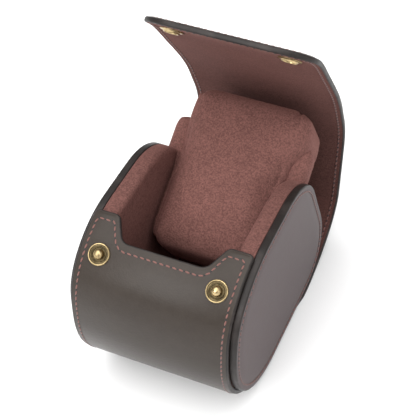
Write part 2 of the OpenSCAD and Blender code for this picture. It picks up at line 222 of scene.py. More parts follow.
class CushionSizes(bpy.types.PropertyGroup):
    """Sizes of the cushion and of its wings."""

    width: FloatProperty(
        name="Width", description="Width of the cushion, side to side",
        default=53.0 * MM, unit="LENGTH", precision=4,
    )
    length: FloatProperty(
        name="Length", description="Length of the cushion along its leaning front",
        default=80.0 * MM, unit="LENGTH", precision=4,
    )
    thickness: FloatProperty(
        name="Thickness", description="Thickness of the cushion",
        default=42.0 * MM, unit="LENGTH", precision=4,
    )
    lean: FloatProperty(
        name="Lean", description="Lean of the cushion's front face",
        default=math.radians(33.5), subtype="ANGLE",
    )
    middle_y: FloatProperty(
        name="Middle, back", description="Place of the cushion's middle behind the origin",
        default=17.5 * MM, unit="LENGTH", precision=4,
    )
    middle_z: FloatProperty(
        name="Middle, height", description="Height of the cushion's middle",
        default=62.5 * MM, unit="LENGTH", precision=4,
    )
    pressure: FloatProperty(
        name="Filling pressure", description="Pressure of the filling while the cover settles",
        default=4.0, min=0.0,
    )
    settle_frames: IntProperty(
        name="Settling steps", description="Steps of the cloth simulation", default=20, min=2,
    )
    wing_length: FloatProperty(
        name="Wing length", description="Length of a wing",
        default=58.0 * MM, unit="LENGTH", precision=4,
    )
    wing_thickness: FloatProperty(
        name="Wing thickness", description="Thickness of a wing",
        default=14.0 * MM, unit="LENGTH", precision=4,
    )
    wing_drop: FloatProperty(
        name="Wing drop", description="Distance from the cushion's upper end down to a wing",
        default=15.5 * MM, unit="LENGTH", precision=4,
    )
    wing_setback: FloatProperty(
        name="Wing setback", description="Distance of a wing behind the cushion's front face",
        default=10.0 * MM, unit="LENGTH", precision=4,
    )


class SnapSizes(bpy.types.PropertyGroup):
    """Sizes of the press studs and of their caps and sockets."""

    pitch: FloatProperty(
        name="Pitch", description="Distance between the two studs",
        default=52.7 * MM, unit="LENGTH", precision=4,
    )
    flange_r: FloatProperty(
        name="Flange radius", description="Radius of a stud's flange",
        default=4.8 * MM, unit="LENGTH", precision=4,
    )
    ball_r: FloatProperty(
        name="Ball radius", description="Radius of a stud's ball",
        default=2.25 * MM, unit="LENGTH", precision=4,
    )
    socket_r: FloatProperty(
        name="Socket radius", description="Radius of a socket",
        default=5.2 * MM, unit="LENGTH", precision=4,
    )
    cap_r: FloatProperty(
        name="Cap radius", description="Radius of a cap on the outside of the flap",
        default=6.2 * MM, unit="LENGTH", precision=4,
    )


class Colours(bpy.types.PropertyGroup):
    """Colours of the finishes."""

    leather: FloatVectorProperty(
        name="Leather", description="Dark charcoal brown of the strap", subtype="COLOR",
        default=(0.036, 0.0285, 0.0235), min=0.0, max=1.0,
    )
    # The end panels are the same leather as the strap; their lighter, mauve-grey colour is painted
    # reflection of the light they catch
    panel: FloatVectorProperty(
        name="Panel leather", description="Smoother leather of the end panels", subtype="COLOR",
        default=(0.058, 0.038, 0.039), min=0.0, max=1.0,
    )
    suede: FloatVectorProperty(
        name="Suede", description="Reddish brown of the linings", subtype="COLOR",
        default=(0.138, 0.062, 0.053), min=0.0, max=1.0,
    )
    thread: FloatVectorProperty(
        name="Thread", description="Dusty red of the thread", subtype="COLOR",
        default=(0.15, 0.058, 0.047), min=0.0, max=1.0,
    )
    edge_paint: FloatVectorProperty(
        name="Edge paint", description="Black paint on the cut edges", subtype="COLOR",
        default=(0.015, 0.012, 0.011), min=0.0, max=1.0,
    )
    brass: FloatVectorProperty(
        name="Brass", description="Antique brass of the snaps", subtype="COLOR",
        default=(0.50, 0.38, 0.20), min=0.0, max=1.0,
    )


class StageSettings(bpy.types.PropertyGroup):
    """Camera and light."""

    azimuth: FloatProperty(
        name="Camera azimuth", description="Camera's turn round the case",
        default=math.radians(23.05), subtype="ANGLE",
    )
    elevation: FloatProperty(
        name="Camera elevation", description="Camera's height over the horizon",
        default=math.radians(44.23), subtype="ANGLE",
    )
    roll: FloatProperty(
        name="Camera roll", description="Camera's turn about its own axis",
        default=math.radians(-0.25), subtype="ANGLE",
    )
    place: FloatVectorProperty(
        name="Camera place", description="Where the camera stands",
        default=(0.14334, -0.34906, 0.43055), subtype="TRANSLATION", precision=5,
    )
    lens: FloatProperty(
        name="Lens", description="Focal length in millimetres on a 36 mm sensor",
        default=100.3, min=1.0,
    )
    key_power: FloatProperty(
        name="Key light", description="Power of the soft light", default=30.0, min=0.0,
    )
    sky: FloatProperty(
        name="Surrounding light", description="Strength of the even white light",
        default=0.4, min=0.0,
    )


class CaseSettings(bpy.types.PropertyGroup):
    """All the settings of the travel case."""

    strap: PointerProperty(type=StrapSizes, name="Strap", description="Sizes of the strap")
    stitch: PointerProperty(type=StitchSizes, name="Stitches", description="Sizes of the stitches")
    wall: PointerProperty(type=WallSizes, name="End walls", description="Sizes of the end walls")
    cushion: PointerProperty(type=CushionSizes, name="Cushion", description="Sizes of the cushion")
    snap: PointerProperty(type=SnapSizes, name="Snaps", description="Sizes of the snaps")
    colour: PointerProperty(type=Colours, name="Colours", description="Colours of the finishes")
    stage: PointerProperty(type=StageSettings, name="Stage", description="Camera and light")


# Outlines and paths


def unit(vector):
    return vector / vector.length


def cross(a, b):
    return a.x * b.y - a.y * b.x


def smooth_step(value, low, high):
    share = max(0.0, min(1.0, (value - low) / (high - low)))
    return share * share * (3 - 2 * share)


def axes_matrix(x_axis, y_axis, z_axis, place):
    """The matrix that lays a shape along three axes at a place."""
    matrix = Matrix((x_axis, y_axis, z_axis)).transposed().to_4x4()
    matrix.translation = place
    return matrix


def neighbours(path, i):
    return path[i - 1], path[i], path[(i + 1) % len(path)]


def half_turn(path, i):
    before, corner, after = neighbours(path, i)
    return math.acos(max(-1, min(1, unit(corner - before).dot(unit(after - corner))))) / 2


def corner_arc(path, radius, i, offset, steps=CORNER_STEPS):
    """Points round one corner of a path, moved to its right by offset."""
    before, corner, after = neighbours(path, i)
    turn = 2 * half_turn(path, i)
    edge = unit(corner - before)
    if turn < 1e-4:
        return [corner + Vector((edge.y, -edge.x)) * offset]
    bisector = unit(unit(before - corner) + unit(after - corner))
    centre = corner + bisector * radius / math.cos(turn / 2)
    side = math.copysign(1, cross(edge, after - corner))
    start = math.atan2(-side * edge.x, side * edge.y)
    reach = radius + side * offset
    angles = [start + side * turn * step / steps for step in range(steps + 1)]
    return [centre + reach * Vector((math.cos(angle), math.sin(angle))) for angle in angles]


def rounded(path, radii):
    """The points of a closed path with its corners rounded."""
    points = []
    for i, radius in enumerate(radii):
        points += corner_arc(path, radius, i, 0, PATTERN_STEPS)
    return points


def inset_path(path, insets):
    """A closed path with each edge moved to its right by its own distance; edge i ends at corner i."""
    moved = []
    for i in range(len(path)):
        before, corner, after = neighbours(path, i)
        into = unit(corner - before)
        out = unit(after - corner)
        first = corner + Vector((into.y, -into.x)) * insets[i]
        second = corner + Vector((out.y, -out.x)) * insets[(i + 1) % len(path)]
        spread = cross(into, out)
        if abs(spread) < 1e-5:
            moved.append(first)
        else:
            moved.append(first + into * cross(second - first, out) / spread)
    return moved


def outline_arc(i, offset):
    return corner_arc(OUTLINE, OUTLINE_R[i], i, offset)


def wall_outline(offset):
    """The end walls' outline at even steps, with its corners run softly into each other."""
    points = []
    for i in range(len(OUTLINE)):
        points += outline_arc(i, offset)
    line, _ = resampled(points + [points[0]], OUTLINE_SPACING)
    line = line[:-1]
    for _ in range(OUTLINE_SMOOTHING):
        line = [
            line[i].lerp((line[i - 1] + line[(i + 1) % len(line)]) / 2, 0.5)
            for i in range(len(line))
        ]
    return line


def moved_corner(i, offset):
    before, corner, after = neighbours(OUTLINE, i)
    bisector = unit(unit(before - corner) + unit(after - corner))
    return corner - bisector * offset / math.cos(half_turn(OUTLINE, i))


FLAP_OFFSETS = [FLAP_GAP, FLAP_GAP, FLAP_GAP, FLAP_GAP, SNAP_OFFSET, SNAP_OFFSET]
FLAP_PATH = (
    [Vector((0, STRAP_T - FLAP_GAP))]
    + [moved_corner(i, FLAP_OFFSETS[i]) for i in range(6)]
    + [moved_corner(BROW, SNAP_OFFSET) - Vector((0, FRONT_REACH / 2))]
)


def flap_arc(i, offset):
    return corner_arc(FLAP_PATH, OUTLINE_R[i] + FLAP_OFFSETS[i], i + 1, offset)


def flap_pivot(k):
    corner, step = FLAP_CUTS[k]
    return flap_arc(corner, FLAP_T if FLAP_BENDS[k] > 0 else 0)[step]


def section_matrix(k):
    """Where length k of the flap lies when open, from where it lies when closed."""
    result = Matrix.Identity(4)
    for j in range(k):
        pivot = flap_pivot(j)
        place = Matrix.Translation((0, pivot.x, pivot.y))
        result = result @ place @ Matrix.Rotation(-FLAP_BENDS[j], 4, "X") @ place.inverted()
    return result


def section_points(k, offset):
    (first, start), (last, stop) = FLAP_CUTS[k - 1], FLAP_CUTS[k]
    points = []
    for corner in range(first, last + 1):
        arc = flap_arc(corner, offset)
        low = start if corner == first else 0
        high = stop if corner == last else CORNER_STEPS
        points += arc[low:high + 1]
    matrix = section_matrix(k)
    placed = [matrix @ Vector((0, point.x, point.y)) for point in points]
    return [Vector((point.y, point.z)) for point in placed]


def resampled(points, spacing):
    """The same line with points at even steps, and its length."""
    lengths = [0.0]
    for a, b in zip(points, points[1:]):
        lengths.append(lengths[-1] + (b - a).length)
    count = max(2, round(lengths[-1] / spacing))
    even = []
    j = 0
    for i in range(count + 1):
        target = lengths[-1] * i / count
        while j < len(points) - 2 and lengths[j + 1] < target:
            j += 1
        span = lengths[j + 1] - lengths[j]
        share = (target - lengths[j]) / span if span > 0 else 0
        even.append(points[j].lerp(points[j + 1], share))
    return even, lengths[-1]


class StrapLine:
    """The middle of the strap's thickness, from the tabs to the free end, measured from the studs."""

    SPACING = 1.0 * MM
    SMOOTHING = 420
    STIFF_SHARE = 0.06
    SOFT_FROM_Z = 85 * MM
    SOFT_TO_Z = 115 * MM
    END_LIFT = math.radians(6)
    LIFT_START = 20 * MM
    LIFT_STOP = 10 * MM
    SNAP_SEAT = 3 * MM

    def __init__(self):
        middle = STRAP_T / 2
        points = outline_arc(CROWN_FRONT, middle) + outline_arc(BROW, middle)
        points += outline_arc(TOE, middle)
        points += outline_arc(HEEL, middle)[:FLAP_CUTS[0][1]]
        for k in range(1, LENGTHS + 1):
            run = section_points(k, FLAP_T / 2)
            points += run[1:-1] if k < LENGTHS else run[1:]
        line, length = resampled(points, self.SPACING)
        shares = [self.smoothing_share(point) for point in line]
        for _ in range(self.SMOOTHING):
            line = (
                [line[0]]
                + [b.lerp((a + c) / 2, share / 2)
                   for a, b, c, share in zip(line, line[1:], line[2:], shares[1:])]
                + [line[-1]]
            )
        self.step = length / (len(line) - 1)
        line = self.lifted(line)
        self.points = line
        tangents = [unit(b - a) for a, b in zip(line, line[2:])]
        tangents = [tangents[0]] + tangents + [tangents[-1]]
        self.normals = [Vector((t.y, -t.x)) for t in tangents]
        # Distances are counted from the studs, so zero is found first
        self.zero = 0.0
        self.zero = self.nearest(stud_matrix(0).translation.yz + self.stud_normal() * middle)
        self.length = length - self.zero

    def smoothing_share(self, point):
        """The open flap bends softly near its top, and follows the stiff body elsewhere."""
        rise = (point.y - self.SOFT_FROM_Z) / (self.SOFT_TO_Z - self.SOFT_FROM_Z)
        soft = max(0.0, min(1.0, rise))
        return self.STIFF_SHARE + (1 - self.STIFF_SHARE) * soft

    def lifted(self, line):
        """The free end turns out a little, stiffened by its snaps."""
        result = [line[0]]
        for i in range(1, len(line)):
            left = (len(line) - i) * self.step
            lift = self.END_LIFT * (1 - smooth_step(left, self.LIFT_STOP, self.LIFT_START))
            result.append(result[-1] + Matrix.Rotation(-lift, 2) @ (line[i] - line[i - 1]))
        return result

    def stud_normal(self):
        direction = stud_matrix(0).col[2]
        return Vector((direction.y, direction.z))

    def nearest(self, point):
        """Distance along the strap of the place nearest to a point."""
        best = min(range(len(self.points)), key=lambda i: (self.points[i] - point).length)
        return best * self.step - self.zero

    def snap_matrix(self, x):
        """The place of a snap on the open flap, by where it meets its stud when closed."""
        fixed = section_matrix(LENGTHS) @ stud_matrix(x) @ Vector((0, 0, SNAP_OFFSET + FLAP_T / 2))
        along = self.nearest(Vector((fixed.y, fixed.z)))
        middle = self.place(along)
        ahead = unit(self.place(along - self.SNAP_SEAT) - self.place(along + self.SNAP_SEAT))
        up = Vector((0, ahead.x, ahead.y))
        out = Vector((0, -ahead.y, ahead.x))
        place = Vector((x, middle.x, middle.y)) - out * (SNAP_OFFSET + FLAP_T / 2)
        return axes_matrix(Vector((1, 0, 0)), up, out, place)

    def place(self, along, height=0.0):
        """Y and Z at a distance along the strap, and a height over its middle."""
        position = (along + self.zero) / self.step
        i = max(0, min(len(self.points) - 2, int(math.floor(position))))
        share = position - i
        point = self.points[i].lerp(self.points[i + 1], share)
        normal = unit(self.normals[i].lerp(self.normals[i + 1], max(0, min(1, share))))
        return point + normal * height

    def bend(self, bm):
        """Bends a flat mesh, which lies across X and along Y, along the strap."""
        for vert in bm.verts:
            place = self.place(vert.co.y, vert.co.z)
            vert.co = (vert.co.x, place.x, place.y)


def stud_matrix(x):
    """The place of a stud: X across, Y up the tab, Z out of it."""
    middle = (OUTLINE[CROWN_FRONT] + OUTLINE[BROW]) / 2
    edge = OUTLINE[CROWN_FRONT] - OUTLINE[BROW]
    slope = math.atan2(edge.y, edge.x)
    return Matrix.Translation((x, middle.x, middle.y)) @ Matrix.Rotation(slope, 4, "X")


# Shader tools


class Value:
    """A number socket that takes part in Python expressions."""

    def __init__(self, finish, socket):
        self.finish = finish
        self.socket = socket

    def math(self, operation, first, second):
        node = self.finish.add("ShaderNodeMath", {"operation": operation}, {0: first, 1: second})
        return Value(self.finish, node.outputs[0])

    def __add__(self, other):
        return self.math("ADD", self, other)

    def __radd__(self, other):
        return self.math("ADD", other, self)

    def __sub__(self, other):
        return self.math("SUBTRACT", self, other)

    def __rsub__(self, other):
        return self.math("SUBTRACT", other, self)

    def __mul__(self, other):
        return self.math("MULTIPLY", self, other)

    def __rmul__(self, other):
        return self.math("MULTIPLY", other, self)


class Finish:
    """One material and short ways to add nodes to it."""

    def __init__(self, name, pattern="Object"):
        self.material = bpy.data.materials.new(name)
        self.material.use_nodes = True
        self.nodes = self.material.node_tree.nodes
        self.links = self.material.node_tree.links
        self.nodes.clear()
        self.shader = self.add("ShaderNodeBsdfPrincipled", {}, {})
        self.add("ShaderNodeOutputMaterial", {}, {"Surface": self.shader.outputs[0]})
        self.where = self.add("ShaderNodeTexCoord", {}, {}).outputs[pattern]

    def add(self, kind, settings, inputs):
        """A node of a kind, with its settings first and then the values or links of its sockets."""
        node = self.nodes.new(kind)
        for key, value in settings.items():
            if key == "stops":
                self.set_stops(node.color_ramp, value)
            else:
                setattr(node, key, value)
        for key, value in inputs.items():
            self.feed(node.inputs[key], value)
        return node

    def feed(self, socket, value):
        """Gives an input socket its value or its link."""
        if isinstance(value, Value):
            value = value.socket
        if isinstance(value, bpy.types.NodeSocket):
            self.links.new(value, socket)
        else:
            socket.default_value = value

    def set_stops(self, ramp, stops):
        while len(ramp.elements) < len(stops):
            ramp.elements.new(1.0)
        for element, (position, shade) in zip(ramp.elements, stops):
            element.position = position
            element.color = (shade, shade, shade, 1.0)

    def noise(self, scale, detail, roughness):
        settings = {"Scale": scale, "Detail": detail, "Roughness": roughness}
        node = self.add("ShaderNodeTexNoise", {}, {"Vector": self.where, **settings})
        return Value(self, node.outputs[0])

    def cells(self, scale):
        settings = {"feature": "SMOOTH_F1"}
        node = self.add("ShaderNodeTexVoronoi", settings, {"Vector": self.where, "Scale": scale})
        return Value(self, node.outputs[0])

    def ramp(self, value, low, high):
        stops = [(low, 0.0), (high, 1.0)]
        node = self.add("ShaderNodeValToRGB", {"stops": stops}, {0: value})
        return Value(self, node.outputs[0])

    def blend_colours(self, factor, first, second):
        settings = {"data_type": "RGBA", "clamp_factor": True}
        inputs = {0: factor, 6: opaque(first), 7: opaque(second)}
        return self.add("ShaderNodeMix", settings, inputs).outputs[2]

    def set(self, **inputs):
        for name, value in inputs.items():
            self.feed(self.shader.inputs[name.replace("_", " ")], value)

    def bump(self, height, distance, strength=1.0):
        inputs = {"Height": height, "Distance": distance, "Strength": strength}
        node = self.add("ShaderNodeBump", {}, inputs)
        self.links.new(node.outputs[0], self.shader.inputs["Normal"])


def opaque(colour):
    return (*colour, 1.0)


def tinted(colour, factor):
    return tuple(min(1.0, part * factor) for part in colour)


def leather_finish(name, colour, pattern, grain, roughness):
    """Smooth full-grain leather: fine pebbles, faint creases and an uneven polish."""
    finish = Finish(name, pattern)
    clouds = finish.noise(38, 3, 0.6)
    mottle = finish.noise(260, 3, 0.6)
    pebbles = finish.cells(1500)
    pores = finish.noise(2600, 2, 0.5)
    shade = finish.ramp(clouds * 0.5 + mottle * 0.5, 0.3, 0.7)
    colour_out = finish.blend_colours(shade, tinted(colour, 0.88), tinted(colour, 1.14))
    finish.set(
        Base_Color=colour_out,
        Roughness=roughness + mottle * 0.08 + clouds * 0.04 - 0.06,
        Specular_IOR_Level=0.18,
    )
    finish.bump(pebbles * 0.6 + pores * 0.35 + mottle * 0.4, grain)
    return finish.material


def suede_finish(name, colour, pattern):
    """Brushed suede: a speckled nap that lies lighter and darker in patches."""
    finish = Finish(name, pattern)
    patches = finish.noise(75, 3, 0.6)
    strokes = finish.noise(420, 2, 0.6)
    fibres = finish.noise(1350, 2, 0.6)
    shade = finish.ramp(patches * 0.14 + strokes * 0.2 + fibres * 0.66, 0.38, 0.62)
    colour_out = finish.blend_colours(shade, tinted(colour, 0.72), tinted(colour, 1.36))
    finish.set(
        Base_Color=colour_out,
        Roughness=0.95,
        Specular_IOR_Level=0.15,
        Sheen_Weight=0.35,
        Sheen_Roughness=0.45,
        Sheen_Tint=opaque(tinted(colour, 3.2)),
    )
    finish.bump(fibres * 0.7 + strokes * 0.5, 0.0002, 0.8)
    return finish.material


def paint_finish(name, colour):
    """Glossy black paint on a cut edge, brushed on by hand."""
    finish = Finish(name)
    streaks = finish.noise(300, 2, 0.5)
    wear = finish.ramp(finish.noise(90, 3, 0.6), 0.45, 0.8)
    colour_out = finish.blend_colours(wear, colour, tinted(colour, 2.6))
    finish.set(
        Base_Color=colour_out, Roughness=0.34 + streaks * 0.2, Specular_IOR_Level=0.22,
    )
    finish.bump(streaks, 0.00012, 0.6)
    return finish.material


def thread_finish(name, colour):
    """Waxed thread with a fine twist."""
    finish = Finish(name)
    twist = finish.noise(2400, 2, 0.5)
    colour_out = finish.blend_colours(twist, tinted(colour, 0.65), tinted(colour, 1.35))
    finish.set(Base_Color=colour_out, Roughness=0.7, Sheen_Weight=0.2)
    finish.bump(twist, 0.00008)
    return finish.material


def brass_finish(name, colour, darkening):
    """Antique brass: warm metal with dark patina left in the hollows."""
    finish = Finish(name)
    patina = finish.ramp(finish.noise(420, 4, 0.65), 0.40, 0.72)
    scratches = finish.noise(1800, 2, 0.5)
    colour_out = finish.blend_colours(patina, colour, tinted(colour, darkening))
    finish.set(
        Base_Color=colour_out, Metallic=1.0,
        Roughness=0.24 + patina * 0.22 + scratches * 0.06,
    )
    finish.bump(scratches, 0.00004, 0.5)
    return finish.material


# Near black of the beads after the stitches: painted shade for the shadows in the needle holes
NEEDLE_HOLE_SHADE_COLOUR = (0.006, 0.005, 0.005)
STEEL_COLOUR = (0.45, 0.43, 0.40)


def finish_named(name):
    """A finish by name, made the first time it is asked for."""
    if name in bpy.data.materials:
        return bpy.data.materials[name]
    colour = bpy.context.scene.travel_case.colour
    makers = {
        "strap_leather": lambda: leather_finish(name, colour.leather, "UV", 0.00008, 0.33),
        # Painted reflection: the end panels' leather is lighter than the strap's to stand in for the
        # light it reflects
        "end_leather_painted_reflection": lambda: leather_finish(name, colour.panel, "Object", 0.00005, 0.48),
        # Painted shade: the strap's lining is the cushion's suede, painted darker (x0.58) for the
        # shade inside the overhanging flap
        "strap_suede_painted_shade": lambda: suede_finish(name, tinted(colour.suede, 0.58), "UV"),
        # Painted shade: the padded walls are the cushion's suede, painted darker (x0.8) for the shade
        # on their inner faces
        "wall_suede_painted_shade": lambda: suede_finish(name, tinted(colour.suede, 0.8), "Object"),
        "pad_suede": lambda: suede_finish(name, colour.suede, "Object"),
        "edge_paint": lambda: paint_finish(name, colour.edge_paint),
        "stitch_thread": lambda: thread_finish(name, colour.thread),
        # Painted shade: the thread finish in near black, on the beads that stand for the needle holes'
        # shadows
        "needle_hole_painted_shade": lambda: thread_finish(name, NEEDLE_HOLE_SHADE_COLOUR),
        "bright_brass": lambda: brass_finish(name, colour.brass, 0.6),
        "dark_brass": lambda: brass_finish(name, tinted(colour.brass, 0.14), 0.4),
        "ring_steel": lambda: brass_finish(name, STEEL_COLOUR, 0.7),
    }
    return makers[name]()


# Mesh tools


def dress(piece, finish):
    """Gives a piece or a model node one finish."""
    piece.data.materials.clear()
    piece.data.materials.append(finish_named(finish))


def make_smooth(piece):
    piece.data.polygons.foreach_set("use_smooth", [True] * len(piece.data.polygons))


def make_piece(name, bm, finishes, sharp=math.radians(40)):
    """Turns a bmesh into a smooth object at the origin."""
    mesh = bpy.data.meshes.new(name)
    bm.to_mesh(mesh)
    bm.free()
    for finish in finishes:
        mesh.materials.append(finish_named(finish))
    piece = bpy.data.objects.new(name, mesh)
    make_smooth(piece)
    mesh.set_sharp_from_angle(angle=sharp)
    bpy.context.scene.collection.objects.link(piece)
    return piece


def outline_face(bm, points, make_vector):
    verts = [bm.verts.new(make_vector(point)) for point in points]
    return bm.faces.new(verts)


def extrude_slab(bm, face, direction):
    """Gives a face a thickness; the new face is at the far side."""
    result = bmesh.ops.extrude_face_region(bm, geom=[face])
    verts = [item for item in result["geom"] if isinstance(item, bmesh.types.BMVert)]
    bmesh.ops.translate(bm, verts=verts, vec=direction)
    bmesh.ops.recalc_face_normals(bm, faces=bm.faces)


def bevel_edges(bm, edges, width, segments):
    bmesh.ops.bevel(
        bm, geom=edges, offset=width, offset_type="OFFSET", affect="EDGES",
        segments=segments, profile=0.5, material=-1, clamp_overlap=True,
    )


def step_in(bm, faces, steps):
    """Insets faces again and again, and raises or sinks them by each step's depth."""
    for width, depth in steps:
        bmesh.ops.inset_region(
            bm, faces=faces, thickness=width, depth=depth, use_even_offset=True,
        )


def lathe(profile, segments):
    """A solid turned about Z; its profile ends on the axis or where it began."""
    bm = bmesh.new()
    verts = [bm.verts.new((radius, 0, height)) for radius, height in profile]
    edges = [bm.edges.new(pair) for pair in zip(verts, verts[1:])]
    bmesh.ops.spin(
        bm, geom=verts + edges, cent=(0, 0, 0), axis=(0, 0, 1), dvec=(0, 0, 0),
        angle=math.tau, steps=segments, use_merge=True, use_normal_flip=False,
        use_duplicate=False,
    )
    bmesh.ops.remove_doubles(bm, verts=bm.verts, dist=1e-6)
    bmesh.ops.recalc_face_normals(bm, faces=bm.faces)
    return bm


def add_bead(bm, matrix, finish):
    """Adds a pointed bead that lies along X."""
    made = bmesh.ops.create_uvsphere(
        bm, u_segments=7, v_segments=5, radius=1.0,
        matrix=matrix @ Matrix.Rotation(math.pi / 2, 4, "Y"),
    )
    for vert in made["verts"]:
        for face in vert.link_faces:
            face.material_index = finish


class Needle:
    """Sews stitches, half sunk in a surface, each followed by a near-black bead that is painted shade
    for the shadow in its needle hole.
    """

    FINISHES = ["stitch_thread", "needle_hole_painted_shade"]
    HOLE_SHADE_HALF_LENGTH = 0.6 * MM

    def __init__(self, sizes):
        width = sizes.thread_w
        thread = Matrix.Diagonal((sizes.length / 2, width / 2, width * 0.42, 1))
        hole = Matrix.Diagonal((self.HOLE_SHADE_HALF_LENGTH, width * 0.45, width * 0.3, 1))
        bm = bmesh.new()
        add_bead(bm, Matrix.Rotation(sizes.slant, 4, "Z") @ thread, 0)
        # The bead after each stitch is painted shade: near black, for the shadow in the needle hole
        add_bead(bm, Matrix.Translation((sizes.pitch / 2, 0, 0)) @ hole, 1)
        self.pattern = bpy.data.meshes.new("stitch")
        bm.to_mesh(self.pattern)
        bm.free()

    def sew(self, bm, centre, direction, up):
        along = unit(direction)
        stitch = self.pattern.copy()
        stitch.transform(axes_matrix(along, up.cross(along), up, centre))
        bm.from_mesh(stitch)
        bpy.data.meshes.remove(stitch)

    def put_away(self):
        bpy.data.meshes.remove(self.pattern)


def stitch_places(points, pitch):
    """Middles and directions of the stitches along a closed line."""
    closed = points + [points[0]]
    _, length = resampled(closed, pitch)
    even, _ = resampled(closed, length / (2 * round(length / pitch)))
    return [(even[i], unit(even[i + 1] - even[i - 1])) for i in range(1, len(even) - 1, 2)]


# Strap


# Rounding of the strap's corners, and where its sides begin and stop to widen, as Y
TAB_CORNER_R = 2.4 * MM
TAB_SHOULDER_R = 3.5 * MM
NOTCH_R = 5 * MM
WIDENING_R = 20 * MM
WIDENING_FROM_Y = -10 * MM
WIDENING_TO_Y = 18 * MM

# Width and rise of each step of the turned edge, from the painted edge inwards
TURNED_EDGE = [(0.5 * MM, 0), (0.45 * MM, 0.2 * MM)]

# Places of the finishes on the strap, and the first two on the end panels
LEATHER, PAINT, SUEDE = range(3)


def strap_pattern(sizes, line):
    """Corners, radii and stitch insets of the flat strap, as distance across and along."""
    stitch = bpy.context.scene.travel_case.stitch
    left, right = sizes.left_edge, sizes.right_edge
    flap_left, flap_right = sizes.flap_left_edge, sizes.flap_right_edge
    top = -sizes.tab_rise
    floor = -sizes.notch_rise
    widen_from = line.nearest(Vector((WIDENING_FROM_Y, STRAP_T / 2)))
    widen_to = line.nearest(Vector((WIDENING_TO_Y, STRAP_T / 2)))
    side, upper, notch = stitch.side_inset, stitch.top_inset, stitch.notch_inset
    corners = [
        ((right, top), TAB_CORNER_R, side),
        ((right - sizes.tab_top_w, top), TAB_SHOULDER_R, upper),
        ((right - sizes.tab_foot_w, floor), NOTCH_R, side),
        ((left + sizes.tab_foot_w, floor), NOTCH_R, notch),
        ((left + sizes.tab_top_w, top), TAB_SHOULDER_R, side),
        ((left, top), TAB_CORNER_R, upper),
        ((left, widen_from), WIDENING_R, side),
        ((flap_left, widen_to), WIDENING_R, side),
        ((flap_left, line.length), sizes.end_round, side),
        ((flap_right, line.length), sizes.end_round, side),
        ((flap_right, widen_to), WIDENING_R, side),
        ((right, widen_from), WIDENING_R, side),
    ]
    path = [Vector(corner) for corner, _, _ in corners]
    radii = [radius for _, radius, _ in corners]
    insets = [inset for _, _, inset in corners]
    return path, radii, insets


def flat_strap(sizes, line):
    """The whole strap lying flat, with rounded painted edges."""
    path, radii, _ = strap_pattern(sizes, line)
    bm = bmesh.new()
    points = rounded(path, radii)
    face = outline_face(bm, points, lambda point: (point.x, point.y, -STRAP_T / 2))
    extrude_slab(bm, face, (0, 0, STRAP_T))
    rims = [edge for edge in bm.edges if abs(edge.verts[0].co.z - edge.verts[1].co.z) < 1e-6]
    bevel_edges(bm, rims, sizes.edge_round, 3)
    outside = [face for face in bm.faces if face.normal.z > 0.999]
    step_in(bm, outside, TURNED_EDGE)
    bm.normal_update()
    for face in bm.faces:
        if face.normal.z > 0.9 and face.calc_center_median().z > STRAP_T / 2 - 0.01 * MM:
            face.material_index = LEATHER
        elif face.normal.z < -0.98:
            face.material_index = SUEDE
        else:
            face.material_index = PAINT
    return bm


def cut_across(bm, along, drop_before=False, drop_after=False):
    """Cuts a flat mesh at a distance along it."""
    bmesh.ops.bisect_plane(
        bm, geom=list(bm.verts) + list(bm.edges) + list(bm.faces), dist=1e-7,
        plane_co=(0, along, 0), plane_no=(0, 1, 0), clear_inner=drop_before,
        clear_outer=drop_after,
    )


def keep_between(bm, low, high):
    """Cuts a flat mesh to a stretch of its length and closes the cuts."""
    for along, keep_after in ((low, True), (high, False)):
        if along is None:
            continue
        cut_across(bm, along, drop_before=keep_after, drop_after=not keep_after)
        open_edges = [edge for edge in bm.edges if edge.is_boundary]
        bmesh.ops.edgenet_fill(bm, edges=open_edges, mat_nr=LEATHER)


def slice_up(bm, spacing):
    low = min(vert.co.y for vert in bm.verts)
    high = max(vert.co.y for vert in bm.verts)
    count = math.ceil((high - low) / spacing)
    for i in range(1, count):
        cut_across(bm, low + (high - low) * i / count)


def keep_flat_place(bm):
    """Keeps the flat place of the leather as its UV map."""
    flat = bm.loops.layers.uv.new("flat")
    for face in bm.faces:
        for loop in face.loops:
            loop[flat].uv = loop.vert.co.xy


class StrapParts:
    """Where the strap is divided into pieces, and where its hinges lie along it."""

    HALF_BLEND = [6 * MM, 4.5 * MM, 7 * MM, 9 * MM, 9 * MM]

    def __init__(self, line):
        hinges = []
        for k in range(LENGTHS):
            pivot = section_matrix(k) @ Vector((0, flap_pivot(k).x, flap_pivot(k).y))
            hinges.append(line.nearest(Vector((pivot.y, pivot.z))))
        self.line = line
        self.hinges = hinges
        starts = [line.nearest(Vector((0, STRAP_T / 2)))]
        starts += [(a + b) / 2 for a, b in zip(hinges, hinges[1:])]
        self.limits = [None] + starts + [None]
        self.names = ["wrap"] + [f"flap_part_{k}" for k in range(1, LENGTHS + 1)]

    def attach(self, piece, i):
        """Part 0 is attached to the root body; any other part only has its placement baked into its
        mesh.
        """
        if i == 0:
            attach(piece, "root")
            return
        hinge = self.hinges[i - 1]
        reach = self.HALF_BLEND[i - 1]
        start = self.line.place(hinge - reach)
        end = self.line.place(hinge + reach)
        FLAP_BODIES[i - 1]
        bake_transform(piece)

    def holds(self, i, along):
        low, high = self.limits[i], self.limits[i + 1]
        return (low is None or along >= low) and (high is None or along < high)


